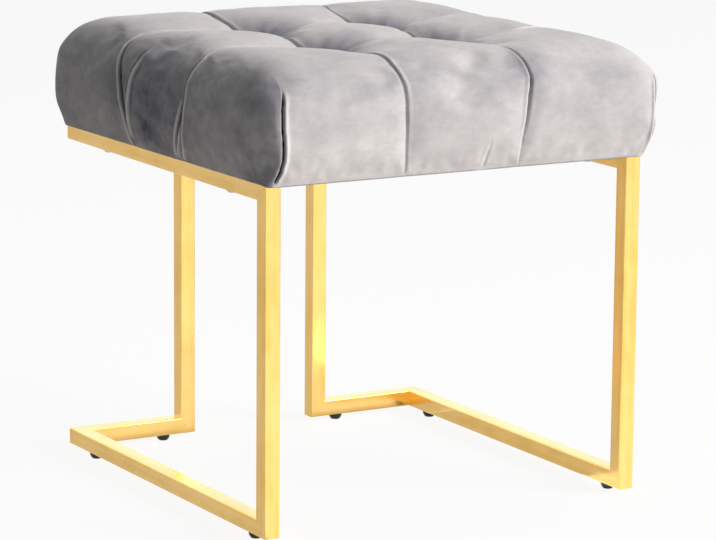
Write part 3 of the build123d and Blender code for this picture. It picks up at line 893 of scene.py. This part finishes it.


# Velvet tone at each point, from about 0, dark, to about 1, pale: random nap patches together with painted
# shade and painted highlights
NAP_LEVEL = 0.8
NAP_LIMITS = (-0.4, 1.5)
PATCH_NAP = 0.1  # broad patches, brushed either way
WISP_NAP = 0.08  # wisps, longer level than upright
WISP_STRETCH = np.array([0.6, 0.6, 1.4])
FLECK_NAP = 0.14  # flecks, and specks between them
FLECK_STRETCH = np.array([1, 0.8, 1.2])
SPECK_NAP = 0.12
TUFT_SHADE = 0.7  # painted shade on the slopes of a tuft that fall to the left, away from the key light
FUNNEL_SHADE = 0.2  # painted shade all round a tuft, in its funnel
SHOULDER_SHADE = 0.12  # painted shade on the front shoulder
FOOT_TINT = 0.1  # paler along the foot of the front faces
NAP_TOP = (60, 90)  # heights between which the tufts' shades begin
# The folds' painted highlights and painted shade are bold near the pleats of the left face: where that
# starts, and how far to front and back
BOLD_SIDE = (208, 228)
BOLD_SPAN = 90
LIP_HIGHLIGHT, BOLD_LIP_HIGHLIGHT = 0.08, 0.34  # painted highlight per millimetre of lip, and more where bold
GROOVE_SHADE, BOLD_GROOVE_SHADE = 0.06, 0.14  # painted shade per millimetre of groove, and more where bold
CORNER_SHADE = 0.45  # painted shade past a flattened corner's fold, on the strip turned from the key light
TUCK_SHADE = 0.3  # painted shade per millimetre of corner fold
CORNER_END = (185, 225)  # where the ends of the seat begin
# Painted shade where the cloth faces left, away from the key light: (share of the normal, amount)
LEFT_SHADE = [(-0.1, 0), (0.12, 0.14), (0.5, 0.14), (0.9, 0.26)]
# Spots where the velvet is darker, or paler if negative: x, y, height, reach, amount
TONE_SPOTS = [
    (77, -240, 110, 26, 0.4), (-22, -240, 112, 32, 0.16), (-150, -228, 116, 44, 0.12),
    (-231, -214, 108, 46, 0.16), (-249, -12, 62, 66, 0.4), (-38, -263, 68, 24, 0.12),
    (22, -263, 78, 24, 0.14), (-185, 110, 122, 50, 0.2), (165, -263, 66, 60, 0.1),
    (-249, -222, 62, 32, -0.22), (-249, 75, 62, 26, 0.3), (-249, 5, 22, 34, 0.25),
    (-240, 228, 75, 34, -0.25), (-200, -242, 108, 20, 0.2), (-72, -238, 114, 36, 0.18),
    (5, -262, 92, 18, -0.14), (60, -263, 24, 24, 0.14), (60, 245, 105, 40, 0.4),
    (246, 20, 90, 55, 0.35),
]


def paint_nap_and_shade(mesh, folds):
    """Stores the velvet's tone at each point: random nap patches, painted shade in the tufts, folds and
    corner folds and where the cloth faces left, painted highlights on the lips, and spots darker or paler.
    """
    local = above_rails(mesh)
    height = local[:, 2]
    out = normals(mesh)
    left = -out[:, 0]
    front = -out[:, 1]
    reach, _ = tuft_distance(local)
    top = ease(height, *NAP_TOP)
    wisp = smooth_noise(local * WISP_STRETCH, size=26, seed=12)
    nap_and_shade = NAP_LEVEL + PATCH_NAP * smooth_noise(local, size=70, seed=11) + WISP_NAP * wisp
    # Painted shade on tuft slopes turned left, on the front shoulder, in the tuft funnels and where the
    # cloth faces left
    nap_and_shade -= TUFT_SHADE * top * mound(reach, 46) * ease(left, -0.2, 0.25)
    nap_and_shade -= SHOULDER_SHADE * mound(out[:, 2], 0.3, 0.55) * ease(front, 0.1, 0.5)
    nap_and_shade -= FUNNEL_SHADE * top * mound(reach, 34)
    nap_and_shade -= np.interp(left, *zip(*LEFT_SHADE))
    nap_and_shade += FOOT_TINT * ease(front, 0.5, 0.9) * (1 - ease(height, 20, 58))
    flecks = FLECK_NAP * smooth_noise(local * FLECK_STRETCH, size=15, seed=14)
    flecks += SPECK_NAP * smooth_noise(local, size=7, seed=15)
    nap_and_shade += flecks * (0.25 + 0.75 * ease(left, 0.2, 0.6))
    bold = ease(-local[:, 0], *BOLD_SIDE) * ease(BOLD_SPAN - np.abs(local[:, 1]), -30, 0)
    # Painted highlights on the lips and painted shade in the grooves
    lips = (LIP_HIGHLIGHT + BOLD_LIP_HIGHLIGHT * bold) * np.clip(folds, 0, 2.5)
    groove_shade = (GROOVE_SHADE + BOLD_GROOVE_SHADE * bold) * np.clip(-folds, 0, 6)
    nap_and_shade += lips - groove_shade
    # Painted shade past each flattened corner's fold and inside the fold
    for side_x, side_y, share, stops in CORNER_FOLDS:
        past = side_x * (local[:, 0] - column(stops, height, 1))
        end = ease(side_y * local[:, 1], *CORNER_END)
        around = np.exp(-np.clip(past, 0, None) / 30) * end
        nap_and_shade -= CORNER_SHADE * share * ease(past, 0, 2) * around * (1 - ease(height, 100, 122))
        nap_and_shade -= TUCK_SHADE * np.clip(-folds, 0, 5) * mound(past, 6) * end
    for *place, size, amount in TONE_SPOTS:
        away = np.linalg.norm(local - np.array(place), axis=1)
        nap_and_shade -= amount * (1 + 0.7 * wisp) * mound(away, size)
    layer = mesh.attributes.new(NAP_AND_SHADE_ATTRIBUTE, "FLOAT", "POINT")
    layer.data.foreach_set("value", np.clip(nap_and_shade, *NAP_LIMITS))


class STOOL_OT_seat_cushion(bpy.types.Operator):
    """Make the tufted velvet cushion"""
    bl_idname = "stool.seat_cushion"
    bl_label = "Velvet cushion"

    def execute(self, context):
        seat = context.scene.stool_seat
        mesh, pins = cushion_base(seat)
        rough = link_mesh("cushion_rough", mesh)
        swell(rough, pins, seat)
        fine = subdivided(rough, "seat_velvet")
        bpy.data.objects.remove(rough)
        finer_folds(fine)
        folds = sewn_folds(fine)
        paint_nap_and_shade(fine, folds)
        close_foot(fine, seat)
        cushion = link_mesh("seat_velvet", fine)
        dress(cushion, grey_velvet(context.scene.stool_finish))
        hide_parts("seat_cover", "seat_wadding", "seat_foam")
        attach(cushion, BODY)
        return {"FINISHED"}


class STOOL_OT_gold_frame(bpy.types.Operator):
    """Plate the tubes of both side frames"""
    bl_idname = "stool.gold_frame"
    bl_label = "Gold side frames"

    def execute(self, context):
        golds = [gold_plate(context.scene.stool_finish, axis) for axis in range(3)]
        for side in SIDES:
            for tube, axis in TUBES.items():
                dress(node_object(side + "_" + tube), golds[axis])
        return {"FINISHED"}


class STOOL_OT_feet(bpy.types.Operator):
    """Finish the feet and every steel fixing"""
    bl_idname = "stool.feet"
    bl_label = "Feet and fixings"

    def execute(self, context):
        finish = context.scene.stool_finish
        plastic = speckled("foot_plastic", finish.plastic, roughness=0.45, grain=900.0, depth=0.0001)
        steel = speckled(
            "zinc_steel", finish.steel, roughness=0.35, grain=700.0, depth=0.00005, metallic=1.0)
        for side in SIDES:
            for foot in FEET:
                dress(node_object("foot_pad_" + side + "_" + foot), plastic)
                dress(node_object("foot_stem_" + side + "_" + foot), steel)
        for name in STEEL_NODES:
            dress(node_object(name), steel)
        return {"FINISHED"}


# Dust cover: slack, puckers and thickness in millimetres, and steps of its grid
DUST_SLACK = 1.6
DUST_PUCKER = 0.5
DUST_T = DUST_HIGH.z - DUST_LOW.z
DUST_STEPS = 64
# Colours of what is under the seat
PLYWOOD = (0.5, 0.34, 0.19)
TWINE = (0.6, 0.52, 0.38)
CAMBRIC = (0.02, 0.02, 0.022)


def dust_sheet():
    """Thin cloth stapled under the seat, a little slack in the middle."""
    bm = bmesh.new()
    bmesh.ops.create_grid(bm, x_segments=DUST_STEPS, y_segments=DUST_STEPS, size=0.5)
    mesh = mesh_of(bm, "dust_sheet")
    unit = coordinates(mesh) * MM
    size = DUST_HIGH - DUST_LOW
    places = unit * np.array(size)
    loose = (1 - (2 * unit[:, 0]) ** 2) * (1 - (2 * unit[:, 1]) ** 2)
    pucker = 1 + smooth_noise(places, size=38.0, seed=21)
    places[:, 2] = DUST_HIGH.z - DUST_SLACK * loose - DUST_PUCKER * pucker * np.sqrt(loose)
    set_coordinates(mesh, places)
    sheet = link_mesh("dust_sheet", mesh)
    thick = sheet.modifiers.new("cloth", "SOLIDIFY")
    thick.thickness = DUST_T * MM
    thick.offset = -1.0
    return sheet


class STOOL_OT_underside(bpy.types.Operator):
    """Finish the board and twine and stretch the dust cover under the seat"""
    bl_idname = "stool.underside"
    bl_label = "Underside"

    def execute(self, context):
        plywood = speckled("plywood", PLYWOOD, roughness=0.7, grain=60.0, depth=0.0003)
        dress(node_object("seat_board"), plywood)
        twine = speckled("waxed_twine", TWINE, roughness=0.8, grain=1200.0, depth=0.0003)
        dress(node_object("tuft_ties"), twine)
        sheet = dust_sheet()
        cloth = speckled("black_cambric", CAMBRIC, roughness=0.9, grain=1400.0, depth=0.0002)
        dress(sheet, cloth)
        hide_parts("dust_cover")
        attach(sheet, BODY)
        return {"FINISHED"}


# Stage

def area_light(name, place, target, size, power):
    """Soft light of a width and height at a place, turned to its target and hidden from the camera."""
    data = bpy.data.lights.new(name, "AREA")
    data.shape = "RECTANGLE"
    data.size, data.size_y = size
    data.energy = power
    lamp = new_object(name, data)
    lamp.location = place
    lamp.rotation_mode = "QUATERNION"
    lamp.rotation_quaternion = (Vector(target) - Vector(place)).to_track_quat("-Z", "Y")
    lamp.visible_camera = False
    return lamp


def ray_level(tree, lit, camera, shine):
    """Brightness for rays that light things, for the camera's and for those off metal or glass."""
    path = add_node(tree, "LightPath", {}, {}).outputs
    glossy = add_node(tree, "Math", {}, {0: path["Is Glossy Ray"], 1: path["Is Transmission Ray"]})
    glossy.operation = "MAXIMUM"
    reflected = add_node(tree, "Mix", {"A": lit, "B": shine}, {"Factor": glossy.outputs["Value"]})
    links = {"A": reflected.outputs["Result"], "Factor": path["Is Camera Ray"]}
    return add_node(tree, "Mix", {"B": camera}, links).outputs["Result"]


# The surround's tint, and how bright the camera sees it
SKY_TINT = (0.95, 0.975, 1.0, 1.0)
SKY_SEEN = 1.05


def studio_world(stage):
    """White surround for the eye and for reflections, dimmer as a light."""
    world = bpy.data.worlds.new("studio")
    bpy.context.scene.world = world
    world.use_nodes = True
    tree = world.node_tree
    sky = tree.nodes["Background"]
    sky.inputs["Color"].default_value = SKY_TINT
    level = ray_level(tree, lit=stage.ambient, camera=SKY_SEEN, shine=stage.backdrop)
    tree.links.new(level, sky.inputs["Strength"])


# The floor: half size in metres, grey, and how bright and by which share the camera sees it glow
FLOOR_HALF = 60.0
FLOOR_GREY = (0.66, 0.66, 0.66, 1.0)
GLOW_SEEN = 1.06
GLOW_SHARE = 0.86


def pale_floor(stage):
    """Wide white floor that keeps a soft shadow."""
    bm = bmesh.new()
    bmesh.ops.create_grid(bm, x_segments=1, y_segments=1, size=FLOOR_HALF)
    floor = link_mesh("floor", mesh_of(bm, "floor"))
    material, tree, shader = new_material("pale_floor")
    set_inputs(shader, {"Base Color": FLOOR_GREY, "Roughness": 0.9, "Specular IOR Level": 0.0})
    level = ray_level(tree, lit=0.0, camera=GLOW_SEEN, shine=stage.floor_shine)
    share = ray_level(tree, lit=0.0, camera=GLOW_SHARE, shine=1.0)
    glow = add_node(tree, "Emission", {}, {"Strength": level})
    links = {"Fac": share, 1: shader.outputs["BSDF"], 2: glow.outputs["Emission"]}
    mix = add_node(tree, "MixShader", {}, links)
    tree.links.new(mix.outputs["Shader"], tree.nodes["Material Output"].inputs["Surface"])
    dress(floor, material)


def photo_camera(stage):
    """Long lens at the photograph's angle."""
    a, e, r = stage.azimuth, stage.elevation, stage.roll
    back = Vector((math.sin(a) * math.cos(e), -math.cos(a) * math.cos(e), math.sin(e)))
    right = Vector((0, 0, 1)).cross(back).normalized()
    up = back.cross(right)
    tilted = right * math.cos(r) + up * math.sin(r)
    upright = up * math.cos(r) - right * math.sin(r)
    data = bpy.data.cameras.new("photo_camera")
    data.lens = stage.lens
    data.sensor_width = 36.0
    data.clip_end = 200.0
    camera = new_object("photo_camera", data)
    turn = Matrix((tilted, upright, back)).transposed().to_4x4()
    camera.matrix_world = Matrix.Translation(Vector(stage.aim) + back * stage.distance) @ turn
    bpy.context.scene.camera = camera


# The two lights: the point that they face, their places and sizes in metres, the key light's tint
LIGHT_TARGET = (0.0, 0.0, 0.35)
KEY_PLACE = (4.99, -5.95, 3.81)
KEY_SIZE = (4.2, 4.2)
KEY_TINT = (1.0, 0.965, 0.945)
TOP_PLACE = (0.2, 0.3, 2.6)
TOP_SIZE = (2.0, 2.0)
# Bright cards that show in reflections only: name, place, lean, size, share of the cards' power
METAL_CARDS = [
    ("floor_card", (1.08, -1.53, 0.003), 0.0, (2.6, 2.74), 1.0),
    ("leaning_card", (0.23, 0.114, 0.0234), math.radians(15.0), (0.9, 0.157), 0.6),
]


class STOOL_OT_stage(bpy.types.Operator):
    """Set the camera, the lights and the floor"""
    bl_idname = "stool.stage"
    bl_label = "Studio"

    def execute(self, context):
        stage = context.scene.stool_stage
        photo_camera(stage)
        studio_world(stage)
        pale_floor(stage)
        key = area_light("key_light", KEY_PLACE, LIGHT_TARGET, KEY_SIZE, stage.key_power)
        key.data.color = KEY_TINT
        area_light("top_light", TOP_PLACE, LIGHT_TARGET, TOP_SIZE, stage.top_power)
        for name, place, tilt, size, share in METAL_CARDS:
            lean = Vector((0.0, math.sin(tilt), math.cos(tilt)))
            power = share * stage.card_power * size[0] * size[1]
            card = area_light(name, place, Vector(place) + lean, size, power)
            card.visible_diffuse = False
        context.scene.view_settings.view_transform = "Standard"
        return {"FINISHED"}


class STOOL_PT_panel(bpy.types.Panel):
    """The stool's pieces in the sidebar"""
    bl_label = "Stool"
    bl_idname = "STOOL_PT_panel"
    bl_space_type = "VIEW_3D"
    bl_region_type = "UI"
    bl_category = "Stool"

    def draw(self, context):
        for operator in OPERATORS:
            self.layout.operator(operator.bl_idname)
        for group in (context.scene.stool_seat, context.scene.stool_finish, context.scene.stool_stage):
            for name in group.__annotations__:
                self.layout.prop(group, name)


GROUPS = {"stool_seat": StoolSeat, "stool_finish": StoolFinish, "stool_stage": StoolStage}
OPERATORS = (STOOL_OT_stage, STOOL_OT_gold_frame, STOOL_OT_feet, STOOL_OT_underside, STOOL_OT_seat_cushion)
CLASSES = (*GROUPS.values(), *OPERATORS, STOOL_PT_panel)


def register():
    """Adds the classes and the settings."""
    for cls in CLASSES:
        bpy.utils.register_class(cls)
    for name, group in GROUPS.items():
        setattr(bpy.types.Scene, name, PointerProperty(type=group))


def unregister():
    """Takes the settings and the classes away."""
    for name in GROUPS:
        delattr(bpy.types.Scene, name)
    for cls in reversed(CLASSES):
        bpy.utils.unregister_class(cls)


def main():
    """Registers the classes and dresses the stool."""
    register()
    bpy.ops.stool.stage()
    bpy.ops.stool.gold_frame()
    bpy.ops.stool.feet()
    bpy.ops.stool.underside()
    bpy.ops.stool.seat_cushion()


if __name__ == "__main__":
    main()
